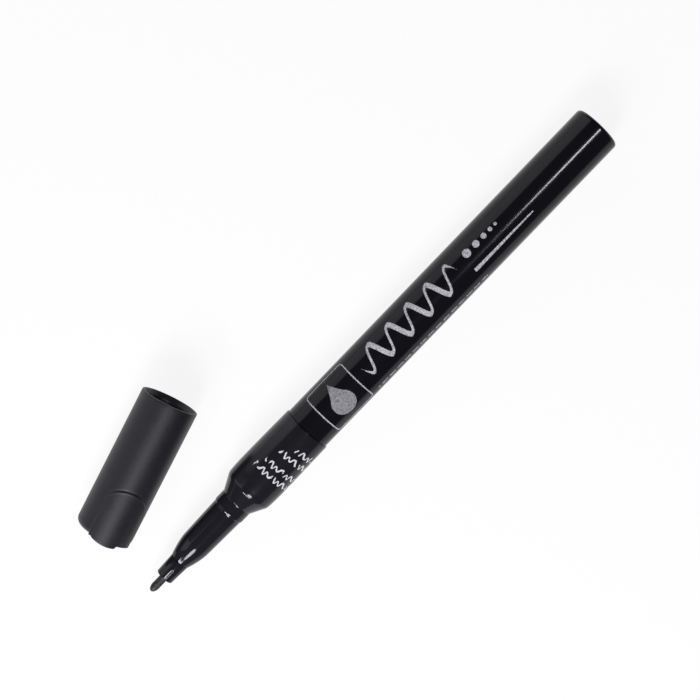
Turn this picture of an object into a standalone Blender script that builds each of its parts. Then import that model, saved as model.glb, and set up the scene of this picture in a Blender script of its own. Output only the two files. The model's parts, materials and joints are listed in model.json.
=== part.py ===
# A valve-action paint marker lying uncapped on a table, with its cap beside it.
# Metres, +Z up. The pen lies along X with its nib towards -X, and the cap lies on its +Y side.
import bmesh
import bpy
from math import atan2, cos, degrees, pi, radians, sin, sqrt, tan, tau
from mathutils import Matrix, Vector

MM = 0.001

# Clearances between pieces
SEAT_GAP = 0.1 * MM        # between faces that rest on each other
PRESS_GAP = 0.05 * MM      # round a piece that is pushed home and stays
RUN_GAP = 0.1 * MM         # round a piece that slides
CAP_GAP = 0.1 * MM         # between the inner cap and the nose when the cap is on

# Barrel, a drawn tube with a closed base
BARREL_LENGTH = 87.6 * MM
BARREL_OD = 10.8 * MM
BARREL_WALL = 0.4 * MM
BARREL_BASE = 0.6 * MM
TAIL_ROUND = 0.8 * MM

# Front section: spigot, grip, shoulder, snap bead, nose and ogive
SPIGOT_LENGTH = 8.0 * MM
SPIGOT_WALL = 0.9 * MM
SPIGOT_RIBS = 3
SPIGOT_RIB_WIDTH = 0.9 * MM
SPIGOT_RIB_HEIGHT = 0.25 * MM
GRIP_LENGTH = 18.2 * MM
GRIP_STEP = 0.25 * MM      # how far the grip stands out from the barrel at its rear edge
GRIP_SWELL = 0.15 * MM     # how much further its belly stands out
GRIP_BELLY = 14.3 * MM     # from the rear edge to the belly
GRIP_ROUND = 1.8 * MM      # where the grip turns into the shoulder cone
SHOULDER_LENGTH = 3.6 * MM
BEAD_HEIGHT = 0.17 * MM    # how far the snap bead stands out from the nose
BEAD_LENGTH = 2.9 * MM
BEAD_RUN = 0.55 * MM       # slope from the bead down to the nose
NOSE_LENGTH = 12.6 * MM    # bead included
NOSE_OD = 7.26 * MM        # behind the bead's slope
NOSE_TAPER = 0.5 * MM      # how much narrower it is at the ogive
OGIVE_LENGTH = 5.2 * MM
OGIVE_POWER = 1.6
OGIVE_STEPS = 6
PAINT_FLOW = 1.4 * MM      # paint passage round the nib, inside the nose

# Nib and its holder
NIB_OD = 1.85 * MM
NIB_LENGTH = 24.5 * MM
NIB_EXPOSED = 4.2 * MM
NIB_TIP_LENGTH = 1.6 * MM
COLLAR_LENGTH = 4.9 * MM
COLLAR_OD = 4.45 * MM      # at its rear
COLLAR_TAPER = 0.4 * MM    # how much narrower it is at its front
COLLAR_ROUND = 0.3 * MM
COLLAR_LEDGE = 0.05 * MM   # how far the ogive's front edge stands out from the collar
HOLDER_WALL = 0.7 * MM
HOLDER_SPIGOT = 5.5 * MM
VENT_WIDTH = 0.5 * MM
VENT_LENGTH = 2.8 * MM
VENT_LEAN = radians(-10)    # how far the slots are turned from upright, away from the cap

# Valve
VALVE_SEAT_THICKNESS = 1.5 * MM
STEM_PIN_OD = 1.6 * MM
STEM_FLOW = 0.6 * MM       # paint passage round the pin, in the seat
STEM_HEAD_LAP = 0.7 * MM   # how far the head covers the seat's edge
STEM_HEAD_THICKNESS = 0.7 * MM
STEM_BOSS_LENGTH = 1.3 * MM
STEM_ROD_OD = 1.8 * MM
STEM_ROD_TAIL = 2.5 * MM   # rod behind the housing
SPRING_WIRE = 0.4 * MM
SPRING_TURNS = 7
SPRING_END_PITCH = 0.85 * MM
SPRING_POINTS = 10         # to a turn
SPRING_LAP = 0.1 * MM      # how far the head stands out from the spring
HOUSING_LENGTH = 11.2 * MM
HOUSING_WALL = 0.6 * MM
HOUSING_BASE = 0.9 * MM
INLETS = 4
INLET_OD = 1.2 * MM
SNAP_HEIGHT = 0.2 * MM     # lip in the section's bore, behind the housing
SNAP_LENGTH = 0.4 * MM

# Mixing ball
BALL_OD = 5.5 * MM
BALL_PLACE = 42.0 * MM     # from the tail

# Cap and inner cap
CAP_WALL = 1.04 * MM
CAP_SEAT_LAP = 0.25 * MM   # how much the cap's mouth is smaller than the grip's front edge
CAP_END_WALL = 1.29 * MM
CAP_DRAFT = 0.05 * MM      # how much the closed end is drawn in
CAP_END_ROUND = 1.7 * MM
CAP_MOUTH_ROUND = 0.2 * MM
LUG_HEIGHT = 0.2 * MM
LUG_WIDTH = 9.6 * MM       # round the cap
LUG_CROWN = 20.3 * MM      # from the mouth to the top of the lug's arch
LUG_ARCH_RADIUS = 6.3 * MM
LUG_OVERHANG = 0.85 * MM    # past the closed end
LUG_ROOT = 1.5 * MM        # how deep its body runs into the cap
LUG_COLUMNS = 12
INNER_CAP_FLOOR = 0.5 * MM
INNER_CAP_RING = 1.6 * MM  # gripping ring at the closed end
INNER_CAP_WALL = 0.8 * MM
NIB_CLEARANCE = 0.3 * MM   # round the nib and past its tip, inside the inner cap

# How the cap lies beside the pen
CAP_ANGLE = radians(16.45)
CAP_ROLL = radians(23.5)   # the lug leans towards the pen
CAP_MOUTH_BACK = 32.8 * MM  # mouth's centre behind the nib's tip, along the pen
CAP_MOUTH_ASIDE = 25.1 * MM  # mouth's centre from the pen's axis

# Facets
SEGMENTS = 48
SMALL_SEGMENTS = 32
ROUND_STEPS = 4
MERGE = 0.001 * MM
SHARP_ANGLE = radians(30)

# Stations along the pen, from the tail's end
GRIP_START = BARREL_LENGTH + SEAT_GAP
GRIP_END = GRIP_START + GRIP_LENGTH
SHOULDER_END = GRIP_END + SHOULDER_LENGTH
BEAD_END = SHOULDER_END + BEAD_LENGTH
NOSE_END = SHOULDER_END + NOSE_LENGTH
NOSE_FRONT = NOSE_END + OGIVE_LENGTH
COLLAR_START = NOSE_FRONT + SEAT_GAP
COLLAR_FRONT = COLLAR_START + COLLAR_LENGTH
NIB_TIP = COLLAR_FRONT + NIB_EXPOSED
NIB_REAR = NIB_TIP - NIB_LENGTH
SPIGOT_REAR = BARREL_LENGTH - SPIGOT_LENGTH
HOLDER_REAR = COLLAR_START - HOLDER_SPIGOT
SEAT_FRONT = GRIP_END - SEAT_GAP
SEAT_REAR = SEAT_FRONT - VALVE_SEAT_THICKNESS
HOUSING_FRONT = SEAT_REAR - SEAT_GAP
HOUSING_REAR = HOUSING_FRONT - HOUSING_LENGTH

# Radii that follow from the sizes above
BARREL_BORE_R = BARREL_OD / 2 - BARREL_WALL
SPIGOT_R = BARREL_BORE_R - PRESS_GAP
VALVE_BORE_R = SPIGOT_R - SPIGOT_WALL
GRIP_REAR_R = BARREL_OD / 2 + GRIP_STEP
GRIP_BELLY_R = GRIP_REAR_R + GRIP_SWELL
NOSE_R = NOSE_OD / 2
NOSE_FRONT_R = NOSE_R - NOSE_TAPER / 2
BEAD_R = NOSE_R + BEAD_HEIGHT
COLLAR_R = COLLAR_OD / 2
COLLAR_FRONT_R = COLLAR_R - COLLAR_TAPER / 2
PAINT_BORE_R = NIB_OD / 2 + PAINT_FLOW
HOLDER_BORE_R = NIB_OD / 2 + RUN_GAP
HOLDER_SPIGOT_R = HOLDER_BORE_R + HOLDER_WALL
HOUSING_R = VALVE_BORE_R - PRESS_GAP
HOUSING_BORE_R = HOUSING_R - HOUSING_WALL
GUIDE_R = STEM_ROD_OD / 2 + RUN_GAP
SEAT_BORE_R = STEM_PIN_OD / 2 + STEM_FLOW
HEAD_R = SEAT_BORE_R + STEM_HEAD_LAP
SPRING_R = HEAD_R - SPRING_LAP - SPRING_WIRE / 2
BOSS_R = SPRING_R - SPRING_WIRE / 2 - RUN_GAP

# The stem's cone stands at 45 degrees and clears the seat's rear edge by the running gap
CONE_FRONT = SEAT_REAR + SEAT_BORE_R - RUN_GAP - STEM_PIN_OD / 2
CONE_REAR = CONE_FRONT - (HEAD_R - STEM_PIN_OD / 2)
HEAD_REAR = CONE_REAR - STEM_HEAD_THICKNESS

# The cap's mouth stops on the shoulder cone
CAP_BORE_R = GRIP_REAR_R - CAP_SEAT_LAP
CAP_R = CAP_BORE_R + CAP_WALL
SHOULDER_SLOPE = SHOULDER_LENGTH / (GRIP_REAR_R - BEAD_R)
CAP_SEAT = GRIP_END + CAP_SEAT_LAP * SHOULDER_SLOPE + SEAT_GAP
INNER_CAP_RIM = SHOULDER_END - CAP_SEAT - SEAT_GAP
INNER_CAP_END = NIB_TIP - CAP_SEAT + NIB_CLEARANCE + INNER_CAP_FLOOR
CAP_BORE_END = INNER_CAP_END + SEAT_GAP
CAP_LENGTH = CAP_BORE_END + CAP_END_WALL

# Heights of the two axes above the table
PEN_HEIGHT = GRIP_BELLY_R
CAP_HEIGHT = CAP_R


def arc(centre, radius, start, stop, steps=ROUND_STEPS):
    """Points of a round in (radius, station), from one angle to another in degrees."""
    angles = [radians(start + (stop - start) * i / steps) for i in range(steps + 1)]
    return [(centre[0] + radius * cos(a), centre[1] + radius * sin(a)) for a in angles]


def turned_mesh(name, outline, segments):
    """Spin an outline of (radius, station) points about the local Z axis into a closed body."""
    shape = bmesh.new()
    points = [shape.verts.new((radius, 0.0, station)) for radius, station in outline]
    following = points[1:] if outline[0][0] == 0.0 else points[1:] + points[:1]
    edges = [shape.edges.new(pair) for pair in zip(points, following)]
    bmesh.ops.spin(
        shape, geom=points + edges, cent=(0, 0, 0), axis=(0, 0, 1), angle=tau, steps=segments, use_merge=True
    )
    bmesh.ops.remove_doubles(shape, verts=shape.verts, dist=MERGE)
    return finished_mesh(name, shape)


def finished_mesh(name, shape):
    """Point the faces outwards, shade them smooth and keep true edges sharp."""
    bmesh.ops.recalc_face_normals(shape, faces=shape.faces)
    mesh = bpy.data.meshes.new(name)
    shape.to_mesh(mesh)
    shape.free()
    mesh.shade_smooth()
    mesh.set_sharp_from_angle(angle=SHARP_ANGLE)
    return mesh


def add_object(name, data, parent, finish=None):
    thing = bpy.data.objects.new(name, data)
    bpy.context.scene.collection.objects.link(thing)
    thing.parent = parent
    if finish:
        data.materials.append(finish)
    return thing


def add_turned(name, outline, parent, finish, segments=SEGMENTS):
    return add_object(name, turned_mesh(name, outline, segments), parent, finish)


def add_frame(name, parent=None, location=(0, 0, 0), rotation=(0, 0, 0)):
    """An empty that places what hangs on it. Rotations apply about Y, then X, then Z."""
    frame = add_object(name, None, parent)
    frame.location = location
    frame.rotation_mode = "YXZ"
    frame.rotation_euler = rotation
    return frame


def add_boolean(thing, operation, mesh):
    """Join or cut with a helper body that is left out of the model."""
    helper = add_object(mesh.name, mesh, thing.parent)
    helper.hide_render = True
    helper.display_type = "WIRE"
    change = thing.modifiers.new(mesh.name, "BOOLEAN")
    change.operation = operation
    change.solver = "EXACT"
    change.object = helper


def make_material(name, colour, roughness, metallic=0.0):
    finish = bpy.data.materials.new(name)
    finish.use_nodes = True
    shader = finish.node_tree.nodes["Principled BSDF"]
    shader.inputs["Base Color"].default_value = (*colour, 1.0)
    shader.inputs["Roughness"].default_value = roughness
    shader.inputs["Metallic"].default_value = metallic
    return finish


def make_barrel(pen):
    radius = BARREL_OD / 2
    tail = arc((radius - TAIL_ROUND, TAIL_ROUND), TAIL_ROUND, 0, -90)
    inside = [(0.0, BARREL_BASE), (BARREL_BORE_R, BARREL_BASE), (BARREL_BORE_R, BARREL_LENGTH)]
    outline = inside + [(radius, BARREL_LENGTH)] + tail + [(0.0, 0.0)]
    finish = make_material("gloss_black_lacquer", (0.006, 0.006, 0.008), 0.12)
    add_turned("barrel", outline, pen, finish)


def spigot_outline():
    """The ribbed plug, from its rear end to the grip's rear face."""
    pitch = SPIGOT_LENGTH / SPIGOT_RIBS
    root = SPIGOT_R - SPIGOT_RIB_HEIGHT
    points = []
    for rib in range(SPIGOT_RIBS):
        start = SPIGOT_REAR + rib * pitch
        stop = start + SPIGOT_RIB_WIDTH
        points += [(SPIGOT_R, start), (SPIGOT_R, stop), (root, stop), (root, start + pitch)]
    points[-1] = (root, GRIP_START)
    return points


def ogive_outline():
    """From the nose's front diameter down to the collar, along a power curve."""
    front = COLLAR_R + COLLAR_LEDGE
    drop = NOSE_FRONT_R - front
    shares = [step / OGIVE_STEPS for step in range(OGIVE_STEPS + 1)]
    return [(front + drop * (1 - t**OGIVE_POWER), NOSE_END + OGIVE_LENGTH * t) for t in shares]


def grip_outline():
    belly = (GRIP_BELLY_R, GRIP_START + GRIP_BELLY)
    lean = atan2(1, SHOULDER_SLOPE)
    centre = (GRIP_REAR_R - GRIP_ROUND, GRIP_END - GRIP_ROUND * tan(lean / 2))
    return [(GRIP_REAR_R, GRIP_START), belly] + arc(centre, GRIP_ROUND, 0, degrees(lean))


def nose_outline():
    bead = [(BEAD_R, SHOULDER_END), (BEAD_R, BEAD_END - BEAD_RUN)]
    return bead + [(NOSE_R, BEAD_END)] + ogive_outline()


def section_bore():
    """From the nose's front face back to the spigot's rear end."""
    spigot_hole = HOLDER_SPIGOT_R + PRESS_GAP
    step = HOLDER_REAR - SEAT_GAP
    lip = VALVE_BORE_R - SNAP_HEIGHT
    lip_front = HOUSING_REAR - SEAT_GAP
    lip_rear = lip_front - SNAP_LENGTH
    nose = [(spigot_hole, NOSE_FRONT), (spigot_hole, step), (PAINT_BORE_R, step)]
    ledge = [(PAINT_BORE_R, GRIP_END), (VALVE_BORE_R, GRIP_END)]
    snap = [(VALVE_BORE_R, lip_front), (lip, lip_front), (lip, lip_rear)]
    rear = [(VALVE_BORE_R, lip_rear - SNAP_HEIGHT), (VALVE_BORE_R, SPIGOT_REAR)]
    return nose + ledge + snap + rear


def make_section(pen, plastic):
    outline = spigot_outline() + grip_outline() + nose_outline() + section_bore()
    add_turned("front_section", outline, pen, plastic)


def make_nib_holder(pen, plastic):
    """A collar with a vent slot above and below, on a spigot that plugs into the nose."""
    edge = (COLLAR_FRONT_R - COLLAR_ROUND, COLLAR_FRONT - COLLAR_ROUND)
    outline = [(HOLDER_BORE_R, HOLDER_REAR), (HOLDER_SPIGOT_R, HOLDER_REAR), (HOLDER_SPIGOT_R, COLLAR_START)]
    outline += [(COLLAR_R, COLLAR_START)] + arc(edge, COLLAR_ROUND, 0, 90)
    outline += [(HOLDER_BORE_R, COLLAR_FRONT)]
    holder = add_turned("nib_holder", outline, pen, plastic, SMALL_SEGMENTS)
    slot = bmesh.new()
    bmesh.ops.create_cube(slot, size=1.0)
    size = Vector((COLLAR_OD * 2, VENT_WIDTH, VENT_LENGTH * 2))
    bmesh.ops.scale(slot, vec=size, verts=slot.verts)
    bmesh.ops.rotate(slot, matrix=Matrix.Rotation(VENT_LEAN, 3, "Z"), verts=slot.verts)
    bmesh.ops.translate(slot, vec=(0, 0, COLLAR_FRONT), verts=slot.verts)
    add_boolean(holder, "DIFFERENCE", finished_mesh("vent_slot", slot))


def make_nib(plunger):
    radius = NIB_OD / 2
    shoulder = NIB_TIP - NIB_TIP_LENGTH
    steps = [radians(90 * i / ROUND_STEPS) for i in range(ROUND_STEPS)]
    bullet = [(radius * cos(a), shoulder + NIB_TIP_LENGTH * sin(a)) for a in steps]
    outline = [(0.0, NIB_REAR), (radius, NIB_REAR)] + bullet + [(0.0, NIB_TIP)]
    finish = make_material("inked_fibre", (0.012, 0.012, 0.013), 0.75)
    add_turned("nib", outline, plunger, finish, SMALL_SEGMENTS)


def make_valve_seat(pen):
    outer = VALVE_BORE_R - PRESS_GAP
    outline = [(SEAT_BORE_R, SEAT_REAR), (outer, SEAT_REAR), (outer, SEAT_FRONT), (SEAT_BORE_R, SEAT_FRONT)]
    add_turned("valve_seat", outline, pen, make_material("seal_rubber", (0.02, 0.02, 0.02), 0.6))


def make_valve_stem(plunger):
    pin = STEM_PIN_OD / 2
    rod = STEM_ROD_OD / 2
    boss_end = HEAD_REAR - STEM_BOSS_LENGTH
    rod_end = HOUSING_REAR - STEM_ROD_TAIL
    outline = [(0.0, rod_end), (rod, rod_end), (rod, boss_end), (BOSS_R, boss_end), (BOSS_R, HEAD_REAR)]
    outline += [(HEAD_R, HEAD_REAR), (HEAD_R, CONE_REAR), (pin, CONE_FRONT)]
    outline += [(pin, NIB_REAR - SEAT_GAP), (0.0, NIB_REAR - SEAT_GAP)]
    finish = make_material("white_valve_plastic", (0.75, 0.75, 0.72), 0.4)
    add_turned("valve_stem", outline, plunger, finish, SMALL_SEGMENTS)


def make_valve_housing(pen):
    base = HOUSING_REAR + HOUSING_BASE
    outline = [(GUIDE_R, HOUSING_REAR), (HOUSING_R, HOUSING_REAR), (HOUSING_R, HOUSING_FRONT)]
    outline += [(HOUSING_BORE_R, HOUSING_FRONT), (HOUSING_BORE_R, base), (GUIDE_R, base)]
    finish = make_material("natural_plastic", (0.62, 0.60, 0.55), 0.45)
    housing = add_turned("valve_housing", outline, pen, finish)
    inlets = bmesh.new()
    for inlet in range(INLETS):
        drill = bmesh.ops.create_cone(
            inlets,
            cap_ends=True,
            segments=SMALL_SEGMENTS // 2,
            radius1=INLET_OD / 2,
            radius2=INLET_OD / 2,
            depth=HOUSING_BASE * 3,
        )
        angle = tau * (inlet + 0.5) / INLETS
        centre = Vector((cos(angle), sin(angle), 0)) * (GUIDE_R + HOUSING_BORE_R) / 2
        centre.z = HOUSING_REAR + HOUSING_BASE / 2
        bmesh.ops.translate(inlets, vec=centre, verts=drill["verts"])
    add_boolean(housing, "DIFFERENCE", finished_mesh("inlet_holes", inlets))


def spring_path():
    """Helix between the housing's base and the stem's head, with closer turns at both ends."""
    start = HOUSING_REAR + HOUSING_BASE + SEAT_GAP + SPRING_WIRE / 2
    length = HEAD_REAR - SEAT_GAP - SPRING_WIRE / 2 - start
    middle_pitch = (length - 2 * SPRING_END_PITCH) / (SPRING_TURNS - 2)
    points = []
    for step in range(SPRING_TURNS * SPRING_POINTS + 1):
        turn = step / SPRING_POINTS
        ends = min(turn, 1) + max(turn - (SPRING_TURNS - 1), 0)
        station = start + SPRING_END_PITCH * ends + middle_pitch * (turn - ends)
        points.append(Vector((SPRING_R * cos(tau * turn), SPRING_R * sin(tau * turn), station)))
    return points


def least_gap(points):
    """Least distance between turns, less the wire, over points more than half a turn apart."""
    apart = SPRING_POINTS // 2 + 1
    pairs = ((a, b) for i, a in enumerate(points) for b in points[i + apart:])
    return min((a - b).length for a, b in pairs) - SPRING_WIRE


def make_valve_spring(pen):
    path = spring_path()
    print("valve spring: least gap between turns", round(least_gap(path) / MM, 3), "mm")
    wire = bpy.data.curves.new("valve_spring", "CURVE")
    wire.dimensions = "3D"
    wire.bevel_depth = SPRING_WIRE / 2
    wire.bevel_resolution = 1
    wire.use_fill_caps = True
    spline = wire.splines.new("POLY")
    spline.points.add(len(path) - 1)
    for point, place in zip(spline.points, path):
        point.co = (*place, 1.0)
    add_object("valve_spring", wire, pen, make_material("spring_steel", (0.55, 0.55, 0.56), 0.25, 1.0))


def make_mixing_ball(track):
    """The ball lies at the bottom of the bore; its frame stands on its path."""
    shape = bmesh.new()
    bmesh.ops.create_icosphere(shape, subdivisions=3, radius=BALL_OD / 2)
    mesh = finished_mesh("mixing_ball", shape)
    add_object("mixing_ball", mesh, track, make_material("ball_steel", (0.6, 0.6, 0.61), 0.15, 1.0))


def lug_mesh():
    """A tongue with an arched top, bent round the cap and centred on local +X."""
    shape = bmesh.new()
    outer = CAP_R + LUG_HEIGHT
    inner = CAP_R - LUG_ROOT
    end = CAP_LENGTH + LUG_OVERHANG
    rings = []
    for column in range(LUG_COLUMNS + 1):
        aside = LUG_WIDTH * (column / LUG_COLUMNS - 0.5)
        angle = aside / CAP_R
        top = LUG_CROWN + LUG_ARCH_RADIUS - sqrt(LUG_ARCH_RADIUS**2 - aside**2)
        corners = [(inner, top), (outer, top), (outer, end), (inner, end)]
        rings.append([shape.verts.new((r * cos(angle), r * sin(angle), z)) for r, z in corners])
    for ring, following in zip(rings, rings[1:]):
        for i in range(4):
            j = (i + 1) % 4
            shape.faces.new((ring[i], ring[j], following[j], following[i]))
    shape.faces.new(rings[0])
    shape.faces.new(rings[-1])
    return finished_mesh("roll_stop_lug", shape)


def make_cap_shell(cap, plastic):
    """A solid turned body joined with its lug, then bored from the mouth."""
    end_r = CAP_R - CAP_DRAFT
    lip = arc((CAP_R - CAP_MOUTH_ROUND, CAP_MOUTH_ROUND), CAP_MOUTH_ROUND, -90, 0)
    crown = arc((end_r - CAP_END_ROUND, CAP_LENGTH - CAP_END_ROUND), CAP_END_ROUND, 0, 90)
    shell = add_turned("cap_shell", [(0.0, 0.0)] + lip + crown + [(0.0, CAP_LENGTH)], cap, plastic)
    add_boolean(shell, "UNION", lug_mesh())
    flare = (CAP_BORE_R + 2 * CAP_MOUTH_ROUND, -CAP_MOUTH_ROUND)
    bore = [(0.0, -CAP_MOUTH_ROUND), flare, (CAP_BORE_R, CAP_MOUTH_ROUND)]
    bore += [(CAP_BORE_R, CAP_BORE_END), (0.0, CAP_BORE_END)]
    add_boolean(shell, "DIFFERENCE", turned_mesh("cap_bore", bore, SEGMENTS))


def nose_pocket():
    """The inside of the inner cap, from its rim to its floor: it clears all that it covers."""
    nose = [(BEAD_R, SHOULDER_END), (BEAD_R, BEAD_END), (NOSE_R, BEAD_END)] + ogive_outline()
    nose += [(COLLAR_FRONT_R + CAP_GAP, COLLAR_FRONT)]
    points = [(radius + CAP_GAP, station - CAP_SEAT + CAP_GAP) for radius, station in nose]
    points[0] = (BEAD_R + CAP_GAP, INNER_CAP_RIM)
    nib_pocket = NIB_OD / 2 + NIB_CLEARANCE
    floor = INNER_CAP_END - INNER_CAP_FLOOR
    return points + [(nib_pocket, points[-1][1]), (nib_pocket, floor), (0.0, floor)]


def make_inner_cap(cap):
    """A sleeve with two rings that grip the cap's bore; the one at its rim goes round the bead."""
    outer = CAP_BORE_R - PRESS_GAP
    waist = NOSE_R + CAP_GAP + INNER_CAP_WALL
    rear_ring = INNER_CAP_END - INNER_CAP_RING
    rim_ring = BEAD_END - CAP_SEAT + CAP_GAP + INNER_CAP_WALL
    outside = [(0.0, INNER_CAP_END), (outer, INNER_CAP_END), (outer, INNER_CAP_RIM)]
    finish = make_material("milky_plastic", (0.60, 0.60, 0.58), 0.4)
    sleeve = add_turned("inner_cap", outside + nose_pocket(), cap, finish)
    groove = [(waist, rear_ring), (CAP_R, rear_ring), (CAP_R, rim_ring), (waist, rim_ring)]
    add_boolean(sleeve, "DIFFERENCE", turned_mesh("inner_cap_groove", groove, SEGMENTS))


def body_bounds():
    """Lowest and highest corners of every body, as placed."""
    graph = bpy.context.evaluated_depsgraph_get()
    corners = []
    for thing in bpy.context.scene.objects:
        if thing.type == "EMPTY" or thing.hide_render:
            continue
        placed = thing.evaluated_get(graph)
        mesh = placed.to_mesh()
        corners += [placed.matrix_world @ vertex.co for vertex in mesh.vertices]
        placed.to_mesh_clear()
    low = Vector(min(corner[i] for corner in corners) for i in range(3))
    high = Vector(max(corner[i] for corner in corners) for i in range(3))
    return low, high


def stand_on_origin(marker):
    """Move everything so that the origin is at the middle of the bounding box's base."""
    bpy.context.view_layer.update()
    low, high = body_bounds()
    marker.location = (-(low.x + high.x) / 2, -(low.y + high.y) / 2, -low.z)
    bpy.context.view_layer.update()


def main():
    for thing in list(bpy.data.objects):
        bpy.data.objects.remove(thing)
    marker = add_frame("marker")
    pen = add_frame("pen_axis", marker, (NIB_TIP, 0, PEN_HEIGHT), (0, -pi / 2, 0))
    plunger = add_frame("plunger_axis", pen)
    sink = BARREL_BORE_R * cos(pi / SEGMENTS) - BALL_OD / 2 - PRESS_GAP
    track = add_frame("ball_track", pen, (-sink, 0, BALL_PLACE))
    cap = add_frame(
        "cap_axis", marker, (CAP_MOUTH_BACK, CAP_MOUTH_ASIDE, CAP_HEIGHT), (CAP_ROLL, -pi / 2, CAP_ANGLE)
    )
    section_plastic = make_material("satin_black_plastic", (0.010, 0.010, 0.011), 0.3)
    cap_plastic = make_material("charcoal_cap_plastic", (0.022, 0.022, 0.025), 0.42)
    make_barrel(pen)
    make_section(pen, section_plastic)
    make_nib_holder(pen, section_plastic)
    make_valve_seat(pen)
    make_valve_housing(pen)
    make_valve_spring(pen)
    make_nib(plunger)
    make_valve_stem(plunger)
    make_mixing_ball(track)
    make_cap_shell(cap, cap_plastic)
    make_inner_cap(cap)
    stand_on_origin(marker)
    for frame in (pen, track, cap):
        print(frame.name, [round(value / MM, 3) for value in frame.matrix_world.translation], "mm")


main()
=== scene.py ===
# Paint marker with its cap off: the looks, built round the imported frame
import bpy
import json
from math import asin, atan2, cos, hypot, pi, radians, sin, tau
from mathutils import Matrix, Vector


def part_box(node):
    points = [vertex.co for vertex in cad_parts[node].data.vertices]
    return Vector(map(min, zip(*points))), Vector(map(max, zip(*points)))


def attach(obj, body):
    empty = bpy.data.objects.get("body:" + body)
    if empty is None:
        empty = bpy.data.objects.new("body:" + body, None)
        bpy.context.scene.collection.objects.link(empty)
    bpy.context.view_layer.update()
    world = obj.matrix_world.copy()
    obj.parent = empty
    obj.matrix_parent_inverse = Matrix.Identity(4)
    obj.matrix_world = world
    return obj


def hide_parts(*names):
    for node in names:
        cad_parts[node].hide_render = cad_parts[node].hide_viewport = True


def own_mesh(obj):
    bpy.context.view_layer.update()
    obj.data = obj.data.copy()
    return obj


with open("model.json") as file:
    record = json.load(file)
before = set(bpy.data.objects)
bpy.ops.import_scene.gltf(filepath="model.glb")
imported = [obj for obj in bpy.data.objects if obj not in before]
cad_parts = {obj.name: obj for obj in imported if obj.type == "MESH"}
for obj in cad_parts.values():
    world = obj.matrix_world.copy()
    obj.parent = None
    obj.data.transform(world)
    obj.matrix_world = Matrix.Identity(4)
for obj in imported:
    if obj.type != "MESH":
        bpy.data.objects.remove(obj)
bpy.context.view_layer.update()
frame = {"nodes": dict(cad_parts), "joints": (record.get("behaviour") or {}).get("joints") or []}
mm = 0.001
seatGap = 0.1  # millimetres between faces that rest on each other
jointLine = 0.04  # what shows of it between the barrel and the grip
print("frame loaded with", len(frame["nodes"]), "nodes")

# The two axes that everything is turned on, read from the frame
barrelLow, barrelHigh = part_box("barrel")
tailCentre = Vector((barrelHigh.x, (barrelLow.y + barrelHigh.y) / 2, (barrelLow.z + barrelHigh.z) / 2))
penLine = {"start": tailCentre, "along": Vector((-1, 0, 0)), "out": Vector((0, 0, 1))}

capPull = next(joint for joint in frame["joints"] if joint["name"] == "cap_pull")
capAlong = Vector(capPull["axis"]).normalized()
sleeveLow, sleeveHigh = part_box("inner_cap")
sleeveMiddle = (sleeveLow + sleeveHigh) / 2
capDepths = [(vertex.co - sleeveMiddle).dot(capAlong) for vertex in frame["nodes"]["cap_shell"].data.vertices]
capMouth = sleeveMiddle + capAlong * min(capDepths)
lugLean = radians(23.5)  # the lug leans this far from upright, towards the pen
capAside = Vector((-capAlong.y, capAlong.x, 0))
capUp = Vector((0, 0, cos(lugLean))) + capAside * sin(lugLean)
capLine = {"start": capMouth, "along": capAlong, "out": capUp}


# Camera: nearly straight above, leaning a little towards the tail
cameraSetup = {
    "lens": 78.33,
    "sensor": 36,
    "distance": 327.69 * mm,
    "lean": radians(4.5),
    "leanTowards": radians(52),  # in the picture, from its right side upwards
    "turn": radians(-46.21),  # of the picture's right side on the table
    "aim": Vector((-1.573, -7.739, 0)) * mm,
}


def placeCamera(setup):
    right = Vector((cos(setup["turn"]), sin(setup["turn"]), 0))
    up = Vector((-right.y, right.x, 0))
    flat = right * cos(setup["leanTowards"]) + up * sin(setup["leanTowards"])
    back = flat * sin(setup["lean"]) + Vector((0, 0, cos(setup["lean"])))
    right = up.cross(back).normalized()
    up = back.cross(right)
    turn = Matrix((right, up, back)).transposed().to_euler()
    bpy.ops.object.camera_add(location=setup["aim"] + back * setup["distance"], rotation=turn)
    camera = bpy.context.object
    camera.data.lens = setup["lens"]
    camera.data.sensor_width = setup["sensor"]
    bpy.context.scene.camera = camera


placeCamera(cameraSetup)
print("camera placed")


# Modelling: an outline is drawn point by point, its corners are rounded, and it is spun
samePlace = 0.001 * mm  # nearer than this, a point is the corner that is looked for
mergeReach = 0.0025 * mm  # joins a spun piece where it closes, round it and on its axis
sharpAngle = radians(40)  # edges with a larger turn stay sharp


def pickNothing():
    if bpy.context.mode != "OBJECT":
        bpy.ops.object.mode_set(mode="OBJECT")
    bpy.ops.object.select_all(action="DESELECT")


def spot(line, station, radius):
    return line["start"] + (line["along"] * station + line["out"] * radius) * mm


def roundCorner(piece, place, size, segments):
    bpy.ops.object.mode_set(mode="OBJECT")
    for edge in piece.data.edges:
        edge.select = False
    for vertex in piece.data.vertices:
        vertex.select = (vertex.co - place).length < samePlace
    bpy.ops.object.mode_set(mode="EDIT")
    bpy.ops.mesh.bevel(offset=size * mm, segments=segments, affect="VERTICES")


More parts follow.
